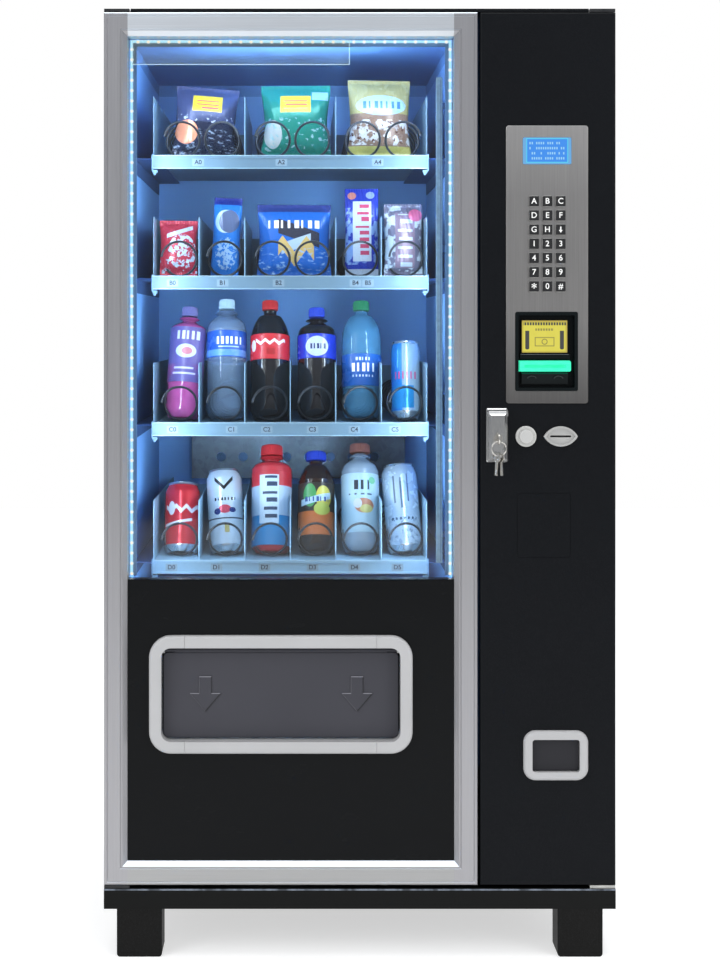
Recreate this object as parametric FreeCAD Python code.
import FreeCAD, Part
import math
import os

# Snack and drink vending machine: a cooled cabinet with four pull-out spiral trays behind a glazed door on
# the left, and a narrow control door with keypad, bill and coin parts and a handle lock on the right.
# Millimetres. +Z up, +X to the machine's right as a buyer sees it, the front faces -Y.
# The origin is on the floor, at the middle of the whole machine.

V = FreeCAD.Vector

# ---------------------------------------------------------------- driving dimensions
HEIGHT = 1640.0
WIDTH = 885.0
DEPTH = 790.0
KEY_REACH = 38.0                       # how far the lock's key stands in front of the doors
HALF_W = WIDTH / 2
BACK = DEPTH / 2
FRONT = -DEPTH / 2 + KEY_REACH         # front plane of both doors
DOOR_DEPTH = 45.0
DOOR_BACK = FRONT + DOOR_DEPTH
CABINET_FRONT = DOOR_BACK + 5.0
SHEET = 1.5                            # folded steel sheet
VISOR_HALF_W = HALF_W - 46
VISOR_T = 5.5

LEG_H = 83.0
LEG_W = 78.0
LEG_DEPTH = 60.0
LEG_INNER_X = 342.0
BASE_TOP = 117.0
DOOR_Z0 = 124.0
DOOR_Z1 = 1633.0
SPLIT_X = 206.0                        # line between the two doors
SPLIT_GAP = 4.0

# glazed door
RAIL = 40.0
RAIL_BEVEL = 8.0
RAIL_WALL = 3.0
DOOR_X0 = -HALF_W
DOOR_X1 = SPLIT_X - SPLIT_GAP / 2
PANE_Z0 = 652.0
PANE_T = 4.0

# delivery opening, seen from the front
BEZEL = dict(x0=-364.5, x1=91.5, z0=351.0, z1=555.0)
BEZEL_W = 21.0
BEZEL_R = 38.0
BEZEL_PROUD = 12.0
BEZEL_SEAMS = (-303.0, 29.5)
FLAP = dict(x0=-341.0, x1=68.0, z0=375.0, z1=523.0)
FLAP_T = 8.0
FLAP_Y = FRONT + 18.0
FLAP_PIN_Y = FLAP_Y + FLAP_T / 2
FLAP_PIN_Z = 526.0
FLAP_PIN_R = 3.0
FLAP_PIN_END = 1.5                     # how far the rod reaches past each end of the flap
FLAP_LUG_R = 5.0
BIN = dict(x0=-362.0, x1=89.0, z0=340.0, z1=600.0)
BIN_Y1 = DOOR_BACK + 190.0
BIN_SLOPE = 36.0                       # rise of the bin's floor towards the back

# cold compartment
LINER_X0, LINER_X1 = -404.0, 167.0
LINER_Z0, LINER_Z1 = 340.0, 1604.0
LINER_BACK = 350.0
LINER_FRONT = CABINET_FRONT + 0.5

# trays: the top edge of each front strip
TRAY_TOPS = dict(a=1398.0, b=1180.0, c=915.0, d=666.0)
TRAY_X0, TRAY_X1 = -369.0, 127.0
TRAY_Y0 = FRONT + 140.0
TRAY_DEPTH = 500.0
TRAY_Y1 = TRAY_Y0 + TRAY_DEPTH
STRIP_H = 23.0
STRIP_T = 5.0
TRAY_SHEET = 1.2
DIVIDER_H = 110.0
DIVIDER_FOOT = 16.0
BACK_PLATE_H = 95.0
RAIL_GAP = 0.3
N_LANES = 6
LANE = (TRAY_X1 - TRAY_X0) / N_LANES
DIVIDERS = dict(a=(2, 4), b=(1, 2, 4, 5), c=(1, 2, 3, 4, 5), d=(1, 2, 3, 4, 5))
TURNING_LANE = dict(a=2, b=1, c=2, d=3)   # the lane whose spiral is its own node, counted from 0
SPIRAL_PITCH = dict(a=62.0, b=62.0, c=80.0, d=80.0)

# spirals
WIRE_R = 2.2
SPIRAL_R = 31.0
SPIRAL_LIFT = SPIRAL_R + WIRE_R + 2.0     # axis above the tray floor
SPIRAL_HUB = 16.0                         # length behind the last turn
SPIRAL_FRONT_GAP = 8.0
SPIRAL_START = 185.0                      # angle of the wire's front end
SPIRAL_SHIFT = 4.0                        # the axes sit clear of the dividers' feet
PAIR_PITCH = 72.0                         # between the two spirals of a double lane
SHAFT_R = 6.0
SHAFT_LENGTH = 20.0
MOTOR_T = 52.0

# control door
CDOOR_X0 = SPLIT_X + SPLIT_GAP / 2
CDOOR_X1 = HALF_W
FASCIA = dict(x0=252.5, x1=394.5, z0=957.0, z1=1437.0)
FASCIA_T = 2.5
SCREEN = dict(x0=281.5, x1=365.5, z0=1370.0, z1=1416.5)
BILL = dict(x0=268.5, x1=376.5, z0=978.5, z1=1115.0)
KEY_COLUMNS = (300.5, 323.5, 346.5)
KEY_TOP_Z = 1306.0
KEY_PITCH_Z = 24.5
KEY_W, KEY_H, KEY_R = 18.0, 19.0, 3.0
KEY_PROUD = 3.0
KEY_NAMES = ("a", "b", "c", "d", "e", "f", "g", "h", "down", "1", "2", "3",
             "4", "5", "6", "7", "8", "9", "star", "0", "hash")
COIN_ROW_Z = 900.0
BUTTON_X = 287.0
BUTTON_R = 12.2
BUTTON_STEM_R = 4.0
SLOT_X = 347.0
SLOT_HALF_W, SLOT_HALF_H = 18.0, 1.6
CUP = dict(x0=282.5, x1=394.5, z0=306.0, z1=392.0)
CUP_W = 15.0
CUP_DEPTH = 55.0
CUP_WALL = 1.8
CUP_PIN_R = 1.6
CUP_PIN_Y = FRONT + 2.3
CUP_PIN_Z = CUP["z1"] - CUP_W - 3.3
CARD_PLATE = dict(x0=271.5, x1=364.5, z0=690.0, z1=802.0)
LOCK_X = 237.0
LOCK_Z = 902.0
LOCK_W, LOCK_H = 37.0, 93.0
LOCK_PLATE_T = 4.0
HANDLE_FRONT = FRONT - 17.0
HANDLE_BACK = FRONT - 4.5
HANDLE_HALF_W = 15.0
HANDLE_PIN_Y = FRONT - 9.0
HANDLE_PIN_Z = 940.0
HANDLE_PIN_R = 2.5
CYLINDER_Z = 897.0
PLUG_R = 8.0
KEY_HOLE_Y, KEY_HOLE_Z = FRONT - 31.0, CYLINDER_Z - 4.0
RING_R, RING_WIRE = 12.5, 1.1

# hinges
PIVOT_INSET = 12.0
PIVOT_Y = FRONT + 22.0
PIN_R = 6.0
RUN_CLEAR = 0.05


# ---------------------------------------------------------------- shape helpers
def box(x0, x1, y0, y1, z0, z1):
    return Part.makeBox(x1 - x0, y1 - y0, z1 - z0, V(x0, y0, z0))


def cyl_x(x0, x1, y, z, r):
    return Part.makeCylinder(r, x1 - x0, V(x0, y, z), V(1, 0, 0))


def cyl_y(x, z, r, y0, y1):
    return Part.makeCylinder(r, y1 - y0, V(x, y0, z), V(0, 1, 0))


def cyl_z(x, y, r, z0, z1):
    return Part.makeCylinder(r, z1 - z0, V(x, y, z0), V(0, 0, 1))


def rounded(x0, x1, z0, z1, r, y0, y1):
    """A slab between y0 and y1 whose outline in XZ is a rectangle with round corners."""
    slab = box(x0, x1, y0, y1, z0, z1)
    corners = [e for e in slab.Edges if abs(e.tangentAt(e.FirstParameter).y) > 0.9]
    return slab.makeFillet(r, corners)


def grown(rect, by):
    return dict(x0=rect["x0"] - by, x1=rect["x1"] + by, z0=rect["z0"] - by, z1=rect["z1"] + by)


def slab(rect, r, y0, y1):
    return rounded(rect["x0"], rect["x1"], rect["z0"], rect["z1"], r, y0, y1)


def cut(shape, *tools):
    for tool in tools:
        shape = shape.cut(tool)
    return shape


def fuse(shape, *others):
    for other in others:
        shape = shape.fuse(other)
    return shape.removeSplitter()


def round_front(shape, r, y):
    """Rounds the edges that lie in the plane y."""
    edges = [e for e in shape.Edges if all(abs(v.Point.y - y) < 1e-6 for v in e.Vertexes)]
    return shape.makeFillet(r, edges)


def extruded(points, direction):
    """A prism: the closed polygon through points, moved along direction."""
    wire = Part.makePolygon([V(*p) for p in points] + [V(*points[0])])
    return Part.Face(wire).extrude(V(*direction))


def save(node, *solids):
    shape = solids[0] if len(solids) == 1 else Part.makeCompound(list(solids))
    shape.exportStep(os.path.join("parts", node + ".step"))


# ---------------------------------------------------------------- cabinet
def cabinet_shell():
    """Two side sheets, floor, roof with its visor, and a back sheet with air slots and the inlet's hole."""
    inner = HALF_W - SHEET
    made = [box(-HALF_W, -inner, CABINET_FRONT, BACK, BASE_TOP, HEIGHT),
            box(inner, HALF_W, CABINET_FRONT, BACK, BASE_TOP, HEIGHT),
            box(-inner, inner, CABINET_FRONT, BACK, BASE_TOP, BASE_TOP + SHEET),
            box(-inner, inner, CABINET_FRONT, BACK, HEIGHT - SHEET, HEIGHT),
            box(-VISOR_HALF_W, VISOR_HALF_W, FRONT + 4, CABINET_FRONT, HEIGHT - VISOR_T, HEIGHT)]
    back = box(-inner, inner, BACK - SHEET, BACK, BASE_TOP + SHEET, HEIGHT - SHEET)
    slots = [box(x, x + 90, BACK - 5, BACK + 1, z, z + 7)
             for x in (-370, -260, -150, -40) for z in range(150, 310, 20)]
    back = cut(back, Part.makeCompound(slots), box(305, 355, BACK - 5, BACK + 1, 160, 190))
    return made + [back]


def insulated_liner():
    outer = box(-HALF_W + SHEET, SPLIT_X - 1, LINER_FRONT, BACK - SHEET, LINER_Z0 - 22, HEIGHT - 8)
    hollow = box(LINER_X0, LINER_X1, LINER_FRONT - 1, LINER_BACK, LINER_Z0, LINER_Z1)
    return outer.cut(hollow)


def base_frame():
    outer = box(-HALF_W, HALF_W, FRONT, BACK, LEG_H, BASE_TOP)
    top_front = [e for e in outer.Edges
                 if all(abs(v.Point.y - FRONT) < 1e-6 and abs(v.Point.z - BASE_TOP) < 1e-6
                        for v in e.Vertexes)]
    outer = outer.makeFillet(2.0, top_front)
    room = box(-HALF_W + 2, HALF_W - 2, FRONT + 2, BACK - 2, LEG_H - 1, BASE_TOP - 2)
    beams = [box(x, x + 40, FRONT + 2, BACK - 2, LEG_H, LEG_H + 2) for x in (-401, 361)]
    return fuse(outer.cut(room), *beams)


def leg(x0, y0):
    """A folded leg, open at the top, with round lower corners and one anchor hole."""
    outer = box(x0, x0 + LEG_W, y0, y0 + LEG_DEPTH, 0, LEG_H)
    low = [e for e in outer.Edges
           if all(abs(v.Point.z) < 1e-6 for v in e.Vertexes) and abs(e.tangentAt(0).y) > 0.9]
    outer = outer.makeFillet(6.0, low)
    hollow = box(x0 + 3, x0 + LEG_W - 3, y0 + 3, y0 + LEG_DEPTH - 3, 4, LEG_H + 1)
    hole = cyl_z(x0 + LEG_W / 2, y0 + LEG_DEPTH / 2, 6.5, -1, 5)
    return cut(outer, hollow, hole)


def legs():
    return [leg(x, y) for x in (-LEG_INNER_X - LEG_W, LEG_INNER_X)
            for y in (FRONT + 1, BACK - 5 - LEG_DEPTH)]


def hinge_brackets():
    """Top and bottom pivot plates with their pins, for both doors."""
    made = []
    for side in (-1, 1):
        x = side * (HALF_W - PIVOT_INSET)
        x0, x1 = sorted((side * HALF_W, side * (HALF_W - 44)))
        top = box(x0, x1, FRONT + 4, CABINET_FRONT, HEIGHT - 5.5, HEIGHT)
        top = fuse(top, cyl_z(x, PIVOT_Y, PIN_R, DOOR_Z1 - 24, HEIGHT - 5))
        bottom = box(x0, x1, FRONT + 4, CABINET_FRONT, BASE_TOP, BASE_TOP + 5.5)
        bottom = fuse(bottom, cyl_z(x, PIVOT_Y, PIN_R, BASE_TOP + 5, DOOR_Z0 + 24))
        made += [top, bottom]
    return made


def evaporator_cover():
    """Perforated cold-air cover on the rear wall, above the lowest tray."""
    x0, x1, y0, z0, z1 = -331.0, 118.0, 300.0, 770.0, 884.0
    cover = box(x0, x1, y0, LINER_BACK, z0, z1).cut(
        box(x0 + 2, x1 - 2, y0 + 2, LINER_BACK + 1, z0 + 2, z1 - 2))
    pitch = 46.0
    holes = [cyl_y(x0 + 62 + pitch * i, 815.0, 9.5, y0 - 1, y0 + 5) for i in range(8)]
    return cut(cover, *holes)


def cooling_unit():
    """Deck, compressor, condenser and fan shroud in the machine room under the cold compartment."""
    deck = box(-420, 150, -60, 380, BASE_TOP + SHEET, BASE_TOP + SHEET + 3)
    floor = BASE_TOP + SHEET + 3
    pot = cyl_z(-300, 200, 85, floor, floor + 170)
    pot = pot.makeFillet(40.0, [e for e in pot.Edges if e.BoundBox.ZMin > floor + 169])
    condenser = box(-90, 130, 250, 310, floor, floor + 185)
    shroud = box(-90, 130, 200, 249.5, floor, floor + 185).cut(cyl_y(20, floor + 92, 82, 199, 251))
    hub = cyl_y(20, floor + 92, 28, 205, 245)
    spokes = [box(18, 22, 220, 230, floor + 2, floor + 90), box(18, 22, 220, 230, floor + 94, floor + 183)]
    return [deck, pot, condenser, fuse(shroud, hub, *spokes)]


def tray_rails():
    """An L-shaped slide under each side of each tray."""
    made = []
    for top in TRAY_TOPS.values():
        z = tray_floor(top) - TRAY_SHEET - RAIL_GAP
        left = fuse(box(LINER_X0, LINER_X0 + 2, TRAY_Y0 + 6, 330, z - 26, z),
                    box(LINER_X0, TRAY_X0 + 10, TRAY_Y0 + 6, 330, z - 2, z))
        right = fuse(box(LINER_X1 - 2, LINER_X1, TRAY_Y0 + 6, 330, z - 26, z),
                     box(TRAY_X1 - 10, LINER_X1, TRAY_Y0 + 6, 330, z - 2, z))
        made += [left, right]
    return made


def controller():
    """Controller housing on the bay's side of the cold compartment."""
    housing = box(SPLIT_X - 1, SPLIT_X + 34, -60, 160, 1180, 1520)
    vents = [box(SPLIT_X + 32, SPLIT_X + 35, y, y + 4, 1210, 1300) for y in range(-30, 130, 14)]
    return housing.cut(Part.makeCompound(vents))


def power_inlet():
    """Appliance inlet in the rear wall: flange inside the sheet, socket and three flat pins."""
    inside = BACK - SHEET
    body = fuse(box(306, 354, BACK - 26, BACK - 0.5, 161, 189),
                box(298, 362, inside - 2, inside, 153, 197))
    socket = box(316, 344, BACK - 18, BACK, 166, 184)
    pins = [box(x, x + 4, BACK - 19, BACK - 4, 174, 176) for x in (320, 328, 336)]
    return fuse(body.cut(socket), *pins)


# ---------------------------------------------------------------- glazed door
def rail_profile(grow):
    """Outline of a frame rail as (distance in from the outer edge, depth behind the front plane)."""
    w, d, b = RAIL, DOOR_DEPTH, RAIL_BEVEL
    if grow:
        return [(0, 1.5), (1.5, 0), (5, 0), (5.6, 0.8), (6.4, 0.8), (7, 0), (w - b - 4, 0),
                (w - b - 3.4, 0.8), (w - b - 2.6, 0.8), (w - b - 2, 0), (w - b, 0), (w, b), (w, d), (0, d)]
    t = RAIL_WALL
    return [(t, t), (w - b - 1.2, t), (w - t, b + 1.2), (w - t, d - t), (t, d - t)]


def door_frame():
    """Four hollow rails, mitred at the corners, with pivot holes top and bottom on the hinge side."""
    x0, x1, z0, z1 = DOOR_X0, DOOR_X1, DOOR_Z0, DOOR_Z1
    long_x, long_z = x1 - x0, z1 - z0
    sides = {
        "left": (lambda u, v: (x0 + u, FRONT + v, z0), (0, 0, long_z),
                 [(x0, z0), (x0 + RAIL, z0 + RAIL), (x0 + RAIL, z1 - RAIL), (x0, z1)]),
        "right": (lambda u, v: (x1 - u, FRONT + v, z0), (0, 0, long_z),
                  [(x1, z0), (x1 - RAIL, z0 + RAIL), (x1 - RAIL, z1 - RAIL), (x1, z1)]),
        "bottom": (lambda u, v: (x0, FRONT + v, z0 + u), (long_x, 0, 0),
                   [(x0, z0), (x0 + RAIL, z0 + RAIL), (x1 - RAIL, z0 + RAIL), (x1, z0)]),
        "top": (lambda u, v: (x0, FRONT + v, z1 - u), (long_x, 0, 0),
                [(x0, z1), (x0 + RAIL, z1 - RAIL), (x1 - RAIL, z1 - RAIL), (x1, z1)]),
    }
    pivot = cyl_z(x0 + PIVOT_INSET, PIVOT_Y, PIN_R + RUN_CLEAR, z0 - 1, z1 + 1)
    made = []
    for place, along, outline in sides.values():
        bar = extruded([place(u, v) for u, v in rail_profile(True)], along)
        bar = bar.cut(extruded([place(u, v) for u, v in rail_profile(False)], along))
        mitre = extruded([(x, FRONT - 1, z) for x, z in outline], (0, DOOR_DEPTH + 2, 0))
        made.append(bar.common(mitre).cut(pivot))
    return made


def window_glass():
    """Front and rear pane of the double glazing."""
    x0, x1 = DOOR_X0 + RAIL + 0.5, DOOR_X1 - RAIL - 0.5
    z1 = DOOR_Z1 - RAIL - 0.5
    return [box(x0, x1, y, y + PANE_T, PANE_Z0, z1) for y in (FRONT + RAIL_BEVEL + 1, DOOR_BACK - 9)]


def door_lower_panel():
    x0, x1 = DOOR_X0 + RAIL + 0.5, DOOR_X1 - RAIL - 0.5
    panel = box(x0, x1, FRONT + RAIL_BEVEL + 1, DOOR_BACK - 12, DOOR_Z0 + RAIL + 0.5, PANE_Z0 - 0.5)
    return panel.cut(slab(grown(BEZEL, -BEZEL_W + 3), BEZEL_R - BEZEL_W + 3, FRONT, DOOR_BACK))


def delivery_bezel():
    """Two end caps and two straight bars round the delivery opening, with a short sleeve behind."""
    face = FRONT + RAIL_BEVEL + 1
    front = face - BEZEL_PROUD
    ring = round_front(slab(BEZEL, BEZEL_R, front, face), 5.0, front)
    sleeve = slab(grown(BEZEL, -BEZEL_W + 2.8), BEZEL_R - BEZEL_W + 2.8, face - 1, face + 22)
    hole = slab(grown(BEZEL, -BEZEL_W), BEZEL_R - BEZEL_W, front - 1, face + 23)
    whole = fuse(ring, sleeve).cut(hole)
    inner_x0, inner_x1 = BEZEL["x0"] + BEZEL_W, BEZEL["x1"] - BEZEL_W
    lugs = [cyl_x(x0, x1, FLAP_PIN_Y, FLAP_PIN_Z, FLAP_LUG_R).common(sleeve)
            for x0, x1 in ((inner_x0 - 2, FLAP["x0"] + 2.5), (FLAP["x1"] - 2.5, inner_x1 + 2))]
    bore = cyl_x(inner_x0, inner_x1, FLAP_PIN_Y, FLAP_PIN_Z, FLAP_PIN_R + RUN_CLEAR)
    whole = fuse(whole, *lugs).cut(bore)
    left, right = BEZEL_SEAMS
    big = dict(y0=front - 5, y1=face + 30, z0=BEZEL["z0"] - 5, z1=BEZEL["z1"] + 5)
    gap = 0.4
    pieces = [whole.common(box(BEZEL["x0"] - 5, left, **big)),
              whole.common(box(right, BEZEL["x1"] + 5, **big))]
    middle = whole.common(box(left + gap, right - gap, **big))
    return pieces + middle.Solids


def delivery_bin():
    """Sheet bin behind the delivery opening: sloping floor on three gussets, open above and in front."""
    x0, x1, z0, z1 = BIN["x0"], BIN["x1"], BIN["z0"], BIN["z1"]
    y0, y1 = DOOR_BACK + 0.5, BIN_Y1
    t = SHEET
    low, high = z0 + 4.0, z0 + BIN_SLOPE
    body = extruded([(x0, y0, low), (x0, y1, high), (x0, y1, z1), (x0, y0, z1)], (x1 - x0, 0, 0))
    inner = extruded([(x0 + t, y0 - 1, low + t), (x0 + t, y1 - t, high + t),
                      (x0 + t, y1 - t, z1 + 1), (x0 + t, y0 - 1, z1 + 1)], (x1 - x0 - 2 * t, 0, 0))
    gussets = [extruded([(x, y0 + 6, z0), (x, y1, z0), (x, y1, high + 0.5), (x, y0 + 6, low + 0.5)],
                        (2, 0, 0))
               for x in (x0, (x0 + x1) / 2 - 1, x1 - 2)]
    return fuse(body.cut(inner), *gussets)


def delivery_flap():
    """Push-in flap with two raised arrow outlines, and its hinge rod along the top."""
    y0 = FLAP_Y
    plate = slab(FLAP, 9.0, y0, y0 + FLAP_T)
    plate = round_front(plate, 1.5, y0)
    rod = cyl_x(FLAP["x0"] - FLAP_PIN_END, FLAP["x1"] + FLAP_PIN_END, FLAP_PIN_Y, FLAP_PIN_Z, FLAP_PIN_R)
    knuckle = box(FLAP["x0"] + 20, FLAP["x1"] - 20, y0 + 1, y0 + FLAP_T - 1, FLAP["z1"] - 1, FLAP_PIN_Z)
    return fuse(plate, knuckle, rod, *[arrow(x, y0) for x in (-267.0, -5.0)])


def arrow(x, y):
    """Raised downward arrow centred at x."""
    top, neck, tip, stem, head = 481.0, 452.0, 421.0, 10.5, 26.5
    outline = [(x - stem, top), (x + stem, top), (x + stem, neck), (x + head, neck),
               (x, tip), (x - head, neck), (x - stem, neck)]
    return extruded([(px, y - 1.2, pz) for px, pz in outline], (0, 2.0, 0))


def door_gasket():
    """Four seal strips on the back of the glazed door."""
    x0, x1, z0, z1 = DOOR_X0 + 18, DOOR_X1 - 15, DOOR_Z0 + 15, DOOR_Z1 - 15
    w = 14.0
    depth = dict(y0=DOOR_BACK, y1=CABINET_FRONT - 0.5)
    return [box(x0, x0 + w, z0=z0, z1=z1, **depth),
            box(x1 - w, x1, z0=z0, z1=z1, **depth),
            box(x0 + w, x1 - w, z0=z0, z1=z0 + w, **depth),
            box(x0 + w, x1 - w, z0=z1 - w, z1=z1, **depth)]


def led_strips():
    """Lamp channels along the left, top and right edge of the window, behind the glass."""
    x0, x1, z0, z1 = DOOR_X0 + RAIL + 1, DOOR_X1 - RAIL - 1, PANE_Z0 + 2, DOOR_Z1 - RAIL - 1
    w = 12.0
    depth = dict(y0=DOOR_BACK - 5, y1=DOOR_BACK + 3)
    return [box(x0, x0 + w, z0=z0, z1=z1, **depth),
            box(x1 - w, x1, z0=z0, z1=z1, **depth),
            box(x0 + w, x1 - w, z0=z1 - w, z1=z1, **depth)]


# ---------------------------------------------------------------- control door
def vesica(cx, cz, half_w, half_h, y0, y1):
    """A pointed oval: where two circles overlap."""
    r = (half_w ** 2 + half_h ** 2) / (2 * half_h)
    return cyl_y(cx, cz + half_h - r, r, y0, y1).common(cyl_y(cx, cz - half_h + r, r, y0, y1))


def control_door():
    """Folded pan with openings for the parts that it carries, and pivot holes on the hinge side."""
    x0, x1, z0, z1 = CDOOR_X0, CDOOR_X1, DOOR_Z0, DOOR_Z1
    outer = box(x0, x1, FRONT, DOOR_BACK, z0, z1)
    outer = round_front(outer, 3.0, FRONT)
    room = box(x0 + SHEET, x1 - SHEET, FRONT + SHEET, DOOR_BACK + 1, z0 + SHEET, z1 - SHEET)
    pan = outer.cut(room)
    through = dict(y0=FRONT - 1, y1=FRONT + 5)
    pan = cut(pan,
              slab(grown(FASCIA, -8), 4.0, **through),
              cyl_y(BUTTON_X, COIN_ROW_Z, 14.0, **through),
              box(SLOT_X - 20, SLOT_X + 20, z0=COIN_ROW_Z - 4, z1=COIN_ROW_Z + 4, **through),
              box(LOCK_X - 14, LOCK_X + 14, z0=LOCK_Z - 40, z1=LOCK_Z + 40, **through),
              slab(grown(CUP, -CUP_W + 2), 5.0, **through),
              cyl_z(x1 - PIVOT_INSET, PIVOT_Y, PIN_R + RUN_CLEAR, z0 - 1, z1 + 1))
    groove = slab(CARD_PLATE, 3.0, FRONT - 1, FRONT + 0.6)
    groove = groove.cut(slab(grown(CARD_PLATE, -1.2), 2.0, FRONT - 2, FRONT + 1))
    return pan.cut(groove)


def key_place(i):
    return KEY_COLUMNS[i % 3], KEY_TOP_Z - KEY_PITCH_Z * (i // 3)


def key_rect(i, grow=0.0):
    x, z = key_place(i)
    return dict(x0=x - KEY_W / 2 - grow, x1=x + KEY_W / 2 + grow,
                z0=z - KEY_H / 2 - grow, z1=z + KEY_H / 2 + grow)


def control_fascia():
    """Brushed plate with the screen, key and bill openings, and the keypad's housing behind it."""
    plate = round_front(slab(FASCIA, 5.0, FRONT - FASCIA_T, FRONT), 1.0, FRONT - FASCIA_T)
    through = dict(y0=FRONT - FASCIA_T - 1, y1=FRONT + 1)
    holes = [slab(key_rect(i, 0.3), KEY_R + 0.3, **through) for i in range(len(KEY_NAMES))]
    plate = cut(plate, Part.makeCompound(holes), slab(grown(SCREEN, 0.3), 3.3, **through),
                slab(grown(BILL, 0.3), 3.3, **through))
    x0, x1 = KEY_COLUMNS[0] - 20, KEY_COLUMNS[-1] + 20
    z0, z1 = KEY_TOP_Z - 6 * KEY_PITCH_Z - 20, KEY_TOP_Z + 20
    housing = box(x0, x1, FRONT + 5, FRONT + 16, z0, z1)
    posts = [cyl_y(x, z, 3.0, FRONT - 1, FRONT + 5) for x in (x0 + 4, x1 - 4) for z in (z0 + 4, z1 - 4)]
    return [fuse(plate, *posts), housing]


def keypad_key(i):
    """A key cap that stands through the fascia, with a collar behind it that holds it in."""
    face = FRONT - FASCIA_T - KEY_PROUD
    cap = round_front(slab(key_rect(i), KEY_R, face, FRONT + 0.4), 0.8, face)
    collar = slab(key_rect(i, 1.4), KEY_R, FRONT + 0.2, FRONT + 2.0)
    return fuse(cap, collar)


def display_window():
    lens = round_front(slab(SCREEN, 3.0, FRONT - FASCIA_T - 0.8, FRONT + 0.5), 0.6, FRONT - FASCIA_T - 0.8)
    return fuse(lens, slab(grown(SCREEN, 5), 2.0, FRONT + 0.2, FRONT + 18))


def bill_validator():
    """Bezel with a sunk pocket, a label plate, a lit mouth with its note slot, and the stacker behind."""
    lip = FRONT - FASCIA_T - 1.5
    floor = FRONT + 12.0
    bezel = round_front(slab(BILL, 3.0, lip, FRONT + 30), 0.8, lip)
    pocket = grown(BILL, -5.5)
    bezel = bezel.cut(slab(pocket, 3.0, lip - 1, floor))
    label = box(280, 360, FRONT + 4, floor + 0.5, 1044, 1101)
    hood = box(277, 363.5, FRONT + 1, floor + 0.5, 1034, 1042)
    mouth = round_front(rounded(276, 364.5, 1012, 1030.5, 3.0, FRONT - 6, floor + 0.5), 2.0, FRONT - 6)
    chin = extruded([(280, floor + 0.5, 990), (280, FRONT + 4, 990), (280, FRONT - 1, 1008),
                     (280, floor + 0.5, 1011)], (80, 0, 0))
    slot = box(284, 356.5, FRONT - 7, FRONT + 26, 1018, 1024)
    stacker = box(275, 370, FRONT + 30, FRONT + 105, 985, 1215)
    body = fuse(bezel, label, hood, chin).cut(slot)
    return [body, mouth.cut(fuse(bezel, label, hood, chin)).cut(slot), stacker]


def coin_slot_plate():
    """Pointed oval plate with a raised rim and the coin slot, and the chute mouth behind it."""
    plate = vesica(SLOT_X, COIN_ROW_Z, 29.5, 17.5, FRONT - 5, FRONT)
    plate = round_front(plate, 1.2, FRONT - 5)
    sunk = vesica(SLOT_X, COIN_ROW_Z, 24.5, 13.8, FRONT - 6, FRONT - 2.4)
    chute = box(SLOT_X - SLOT_HALF_W - 1.5, SLOT_X + SLOT_HALF_W + 1.5, FRONT, FRONT + 59,
                COIN_ROW_Z - 3.5, COIN_ROW_Z + 3.5)
    slot = box(SLOT_X - SLOT_HALF_W, SLOT_X + SLOT_HALF_W, FRONT - 7, FRONT + 60,
               COIN_ROW_Z - SLOT_HALF_H, COIN_ROW_Z + SLOT_HALF_H)
    return fuse(plate.cut(sunk), chute).cut(slot)


def return_button_bezel():
    ring = round_front(cyl_y(BUTTON_X, COIN_ROW_Z, 18.0, FRONT - 5, FRONT), 1.5, FRONT - 5)
    barrel = cyl_y(BUTTON_X, COIN_ROW_Z, 13.9, FRONT, FRONT + 24)
    bore = cyl_y(BUTTON_X, COIN_ROW_Z, BUTTON_R + RUN_CLEAR, FRONT - 6, FRONT + 20)
    stem = cyl_y(BUTTON_X, COIN_ROW_Z, BUTTON_STEM_R + RUN_CLEAR, FRONT + 19, FRONT + 25)
    return fuse(ring, barrel).cut(bore).cut(stem)


def return_button():
    """The coin return plunger: cap, and a stem through the end of its barrel."""
    cap = round_front(cyl_y(BUTTON_X, COIN_ROW_Z, BUTTON_R, FRONT - 10, FRONT + 8), 1.5, FRONT - 10)
    return fuse(cap, cyl_y(BUTTON_X, COIN_ROW_Z, BUTTON_STEM_R, FRONT + 7, FRONT + 34))


def coin_cup():
    """Round-edged frame of the coin return, with its cup behind the control door and the flap's bearings."""
    ring = round_front(slab(CUP, 21.0, FRONT - 8, FRONT), 6.5, FRONT - 8)
    opening = slab(grown(CUP, -CUP_W), 5.0, FRONT - 9, FRONT + 0.5)
    cup = slab(grown(CUP, -CUP_W + CUP_WALL), 5.0, FRONT, FRONT + CUP_DEPTH)
    inner = slab(grown(CUP, -CUP_W), 4.0, FRONT - 1, FRONT + CUP_DEPTH - 2)
    chute = box(SLOT_X - 20, SLOT_X + 20, FRONT + 25, FRONT + 45, CUP["z1"] - 20, CUP["z1"] - 8)
    bearings = cyl_x(CUP["x0"] + CUP_W - 1.1, CUP["x1"] - CUP_W + 1.1, CUP_PIN_Y, CUP_PIN_Z,
                     CUP_PIN_R + RUN_CLEAR)
    return cut(fuse(ring.cut(opening), cup.cut(inner)), chute, bearings)


def coin_flap():
    rect = grown(CUP, -CUP_W - 0.8)
    rect["z1"] = CUP_PIN_Z
    y0 = FRONT + 1.0
    plate = round_front(slab(rect, 3.0, y0, y0 + 2.6), 0.6, y0)
    rod = cyl_x(rect["x0"] - 1.7, rect["x1"] + 1.7, CUP_PIN_Y, CUP_PIN_Z, CUP_PIN_R)
    return fuse(plate, rod)


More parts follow.
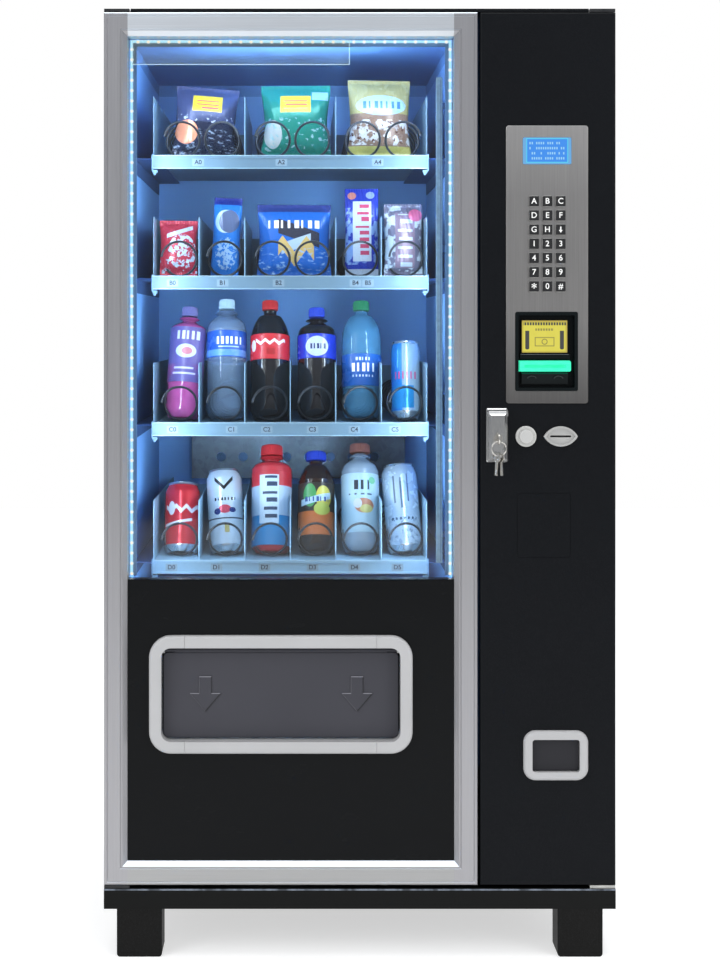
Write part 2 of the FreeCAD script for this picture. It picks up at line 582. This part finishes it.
def coin_mechanism():
    """Coin changer behind the coin slot and the cash box under it, on brackets from the side wall."""
    wall = HALF_W - SHEET
    x0, x1, y0, y1, z0, z1 = 276.0, 396.0, DOOR_BACK + 2, DOOR_BACK + 78, 520.0, 860.0
    changer = box(x0, x1, y0, y1, z0, z1)
    funnel = extruded([(320, y0 + 3, z1), (374, y0 + 3, z1), (374, y0 + 3, z1 + 25), (320, y0 + 3, z1 + 35)],
                      (0, 30, 0))
    cash_z0, cash_z1 = 405.0, 512.0
    cash = box(280, 392, y0 + 12, y1 + 6, cash_z0, cash_z1)
    cash = cash.cut(box(282, 390, y0 + 14, y1 + 4, cash_z0 + 2, cash_z1 + 1))
    shelves = [box(x1, wall, y0 + 4, y1 - 4, z, z + 3) for z in (z0 + 40, z1 - 60)]
    cash_shelf = box(280, wall, y0 + 10, y1 + 8, cash_z0 - 3, cash_z0)
    return [fuse(changer, funnel), cash, cash_shelf] + shelves


def lock_base():
    """Escutcheon of the handle lock: plate, housing through the door, and two cheeks for the hinge pin."""
    front = FRONT - LOCK_PLATE_T
    plate = rounded(LOCK_X - LOCK_W / 2, LOCK_X + LOCK_W / 2, LOCK_Z - LOCK_H / 2, LOCK_Z + LOCK_H / 2, 3.0,
                    front, FRONT)
    plate = plate.makeChamfer(2.0, [e for e in plate.Edges
                                    if all(abs(v.Point.y - front) < 1e-6 for v in e.Vertexes)])
    body = box(LOCK_X - 13, LOCK_X + 13, FRONT, FRONT + 24, LOCK_Z - 39, LOCK_Z + 39)
    cheeks = [box(x, x + 2.6, HANDLE_PIN_Y - 4.5, front + 2.5, HANDLE_PIN_Z - 5, HANDLE_PIN_Z + 5)
              for x in (LOCK_X - HANDLE_HALF_W - 2.8, LOCK_X + HANDLE_HALF_W + 0.2)]
    pin = cyl_x(LOCK_X - LOCK_W, LOCK_X + LOCK_W, HANDLE_PIN_Y, HANDLE_PIN_Z, HANDLE_PIN_R + RUN_CLEAR)
    return fuse(plate, body, *cheeks).cut(pin)


def lock_handle():
    """Lift handle with bevelled faces: knuckle and hinge pin at its top, bore for the lock cylinder."""
    x0, x1 = LOCK_X - HANDLE_HALF_W, LOCK_X + HANDLE_HALF_W
    grip = box(x0, x1, HANDLE_FRONT, HANDLE_BACK, LOCK_Z - 41, HANDLE_PIN_Z)
    grip = grip.makeChamfer(3.5, [e for e in grip.Edges
                                  if all(abs(v.Point.y - HANDLE_FRONT) < 1e-6 for v in e.Vertexes)])
    knuckle = cyl_x(x0, x1, HANDLE_PIN_Y, HANDLE_PIN_Z, HANDLE_BACK - HANDLE_PIN_Y)
    pin = cyl_x(x0 - 2.6, x1 + 2.6, HANDLE_PIN_Y, HANDLE_PIN_Z, HANDLE_PIN_R)
    bore = cyl_y(LOCK_X, CYLINDER_Z, PLUG_R + RUN_CLEAR, HANDLE_FRONT - 2, HANDLE_BACK - 3)
    return fuse(grip, knuckle, pin).cut(bore)


def lock_key():
    """The lock cylinder's plug with a key in it; the hole in the key's bow carries the key ring."""
    plug = cyl_y(LOCK_X, CYLINDER_Z, PLUG_R, HANDLE_FRONT - 1.5, HANDLE_BACK - 3.5)
    blade = box(LOCK_X - 1.0, LOCK_X + 1.0, HANDLE_FRONT - 7, HANDLE_FRONT - 1,
                CYLINDER_Z - 4, CYLINDER_Z + 4)
    bow = cyl_x(LOCK_X - 1.0, LOCK_X + 1.0, KEY_HOLE_Y + 3.5, CYLINDER_Z, 10.5)
    hole = cyl_x(LOCK_X - 2.0, LOCK_X + 2.0, KEY_HOLE_Y, KEY_HOLE_Z, 2.5)
    return fuse(plug, blade, bow).cut(hole)


def spare_key(x, tilt):
    """A key on the ring's lowest stretch, turned so that its face shows."""
    z_hole = KEY_HOLE_Z - RING_R - math.sqrt(RING_R ** 2 - (x - LOCK_X) ** 2)
    bow_r, half_t = 7.5, 0.8
    bow = Part.makeCylinder(bow_r, 2 * half_t, V(-half_t, 0, -3.2), V(1, 0, 0))
    blade = Part.makeBox(2 * half_t, 5.0, 24.0, V(-half_t, -2.5, -33.0))
    hole = Part.makeCylinder(3.5, 4 * half_t, V(-2 * half_t, 0, 0), V(1, 0, 0))
    key = fuse(bow, blade).cut(hole)
    key.rotate(V(0, 0, 0), V(1, 0, 0), tilt)
    key.rotate(V(0, 0, 0), V(0, 0, 1), 42)
    key.translate(V(x, KEY_HOLE_Y, z_hole - 0.8))
    return key


def spare_keys():
    """Split ring through the key's bow, with two spare keys hanging from it."""
    ring = Part.makeTorus(RING_R, RING_WIRE, V(LOCK_X, KEY_HOLE_Y, KEY_HOLE_Z - RING_R), V(0, 1, 0))
    return [ring, spare_key(LOCK_X - 3.2, 4.0), spare_key(LOCK_X + 3.2, -4.0)]


# ---------------------------------------------------------------- trays and spirals
def tray_floor(top):
    return top - 1.5


def spiral_x(name, lane):
    """A single lane has its spiral in the middle; two lanes with no divider between have a close pair."""
    edges = (0,) + DIVIDERS[name] + (N_LANES,)
    for low, high in zip(edges, edges[1:]):
        if low <= lane < high:
            middle = TRAY_X0 + LANE * (low + high) / 2 + SPIRAL_SHIFT
            return middle + PAIR_PITCH * (lane - (low + high - 1) / 2)


def tray(name):
    """Pan with turned-down front, side and back plates, label strip, L dividers and spiral motors."""
    top = TRAY_TOPS[name]
    z = tray_floor(top)
    t = TRAY_SHEET
    pan = fuse(box(TRAY_X0, TRAY_X1, TRAY_Y0, TRAY_Y1, z - t, z),
               box(TRAY_X0, TRAY_X1, TRAY_Y0, TRAY_Y0 + t, top - STRIP_H, z))
    sides = [box(x, x + t, TRAY_Y0 + 3, TRAY_Y1, z, z + DIVIDER_H) for x in (TRAY_X0, TRAY_X1 - t)]
    axes = [spiral_x(name, lane) for lane in range(N_LANES)]
    bores = [cyl_y(x, z + SPIRAL_LIFT, 9.0, TRAY_Y1 - 5, TRAY_Y1 + 1) for x in axes]
    back = cut(box(TRAY_X0 + t, TRAY_X1 - t, TRAY_Y1 - t, TRAY_Y1, z, z + BACK_PLATE_H), *bores)
    made = [pan, back, label_strip(top)] + sides
    for k in DIVIDERS[name]:
        x = TRAY_X0 + LANE * k
        upright = box(x - t / 2, x + t / 2, TRAY_Y0 + 3, TRAY_Y1 - t - 0.3, z + 0.1, z + DIVIDER_H)
        foot = box(x - t / 2, x + DIVIDER_FOOT, TRAY_Y0 + 3, TRAY_Y1 - t - 0.3, z + 0.1, z + 0.1 + t)
        made.append(fuse(upright, foot))
    for x in axes:
        motor = box(x - 26, x + 26, TRAY_Y1, TRAY_Y1 + MOTOR_T, z + 8, z + 74)
        bore = cyl_y(x, z + SPIRAL_LIFT, SHAFT_R + RUN_CLEAR, TRAY_Y1 - 1, TRAY_Y1 + 14)
        made.append(motor.cut(bore))
    return made


def label_strip(top):
    """Plastic channel on the tray's front that holds the selection labels."""
    y0 = TRAY_Y0 - STRIP_T
    strip = box(TRAY_X0, TRAY_X1, y0, TRAY_Y0, top - STRIP_H, top)
    return strip.cut(box(TRAY_X0 - 1, TRAY_X1 + 1, y0 - 1, y0 + 1.5, top - STRIP_H + 4, top - 4))


def wire_coil(pitch, length):
    """Round wire wound about Z from (SPIRAL_R, 0, 0), as half turns that share their end circles."""
    count = math.ceil(2.0 * length / pitch)
    step = length / count
    slope = math.atan2(pitch, 2.0 * math.pi * SPIRAL_R)
    ring = Part.Wire(Part.makeCircle(WIRE_R, V(SPIRAL_R, 0, 0), V(0, math.cos(slope), math.sin(slope))))
    faces = []
    for i in range(count + 1):
        if i < count:
            piece = Part.Wire(Part.makeHelix(pitch, step, SPIRAL_R)).makePipeShell([ring], False, True)
        else:
            piece = Part.Face(ring)
        piece.rotate(V(0, 0, 0), V(0, 0, 1), 360.0 * step * i / pitch)
        piece.translate(V(0, 0, step * i))
        faces += piece.Faces
    shell = Part.Shell(faces + [Part.Face(ring)])
    shell.sewShape(0.01)
    solid = Part.Solid(shell.Shells[0])
    if solid.Volume < 0:
        solid = Part.Solid(solid.Shells[0].reversed())
    return solid


def spiral(name):
    """The turning spiral of one lane: the wire helix, and the arm and hub that the motor drives."""
    x = spiral_x(name, TURNING_LANE[name])
    z = tray_floor(TRAY_TOPS[name]) + SPIRAL_LIFT
    y0 = TRAY_Y0 + SPIRAL_FRONT_GAP
    length = TRAY_Y1 - TRAY_SHEET - SPIRAL_HUB - y0
    coil = wire_coil(SPIRAL_PITCH[name], length)
    turn_end = 360.0 * length / SPIRAL_PITCH[name]
    arm = Part.makeCylinder(WIRE_R, SPIRAL_R - 9, V(9, 0, 0), V(1, 0, 0))
    arm.rotate(V(0, 0, 0), V(0, 0, 1), turn_end + 9.0)
    arm.translate(V(0, 0, length + 2.5 * WIRE_R))
    hub = Part.makeCylinder(10.0, 10.0, V(0, 0, length + 1.0), V(0, 0, 1))
    shaft = Part.makeCylinder(SHAFT_R, SHAFT_LENGTH, V(0, 0, length + 10.0), V(0, 0, 1))
    made = []
    for piece in (coil, fuse(hub, arm, shaft)):
        piece.rotate(V(0, 0, 0), V(0, 0, 1), SPIRAL_START)
        piece.rotate(V(0, 0, 0), V(1, 0, 0), -90)
        piece.translate(V(x, y0, z))
        made.append(piece)
    return made


# ---------------------------------------------------------------- export
def main():
    os.makedirs("parts", exist_ok=True)
    save("cabinet_shell", *cabinet_shell())
    save("insulated_liner", insulated_liner())
    save("base_frame", base_frame())
    save("legs", *legs())
    save("hinge_brackets", *hinge_brackets())
    save("evaporator_cover", evaporator_cover())
    save("cooling_unit", *cooling_unit())
    save("tray_rails", *tray_rails())
    save("electrics", controller(), power_inlet())
    save("door_frame", *door_frame())
    save("window_glass", *window_glass())
    save("door_lower_panel", door_lower_panel())
    save("delivery_bezel", *delivery_bezel())
    save("delivery_bin", delivery_bin())
    save("delivery_flap", delivery_flap())
    save("door_gasket", *door_gasket())
    save("led_strips", *led_strips())
    save("control_door", control_door())
    save("control_fascia", *control_fascia())
    save("display_window", display_window())
    save("bill_validator", *bill_validator())
    save("coin_slot_plate", coin_slot_plate())
    save("return_button_bezel", return_button_bezel())
    save("return_button", return_button())
    save("coin_cup", coin_cup())
    save("coin_flap", coin_flap())
    save("coin_mechanism", *coin_mechanism())
    save("lock_base", lock_base())
    save("lock_handle", lock_handle())
    save("lock_key", lock_key())
    save("spare_keys", *spare_keys())
    for name in TRAY_TOPS:
        save("tray_" + name, *tray(name))
        save("spiral_" + name, *spiral(name))
    for i, name in enumerate(KEY_NAMES):
        save("key_" + name, keypad_key(i))


main()
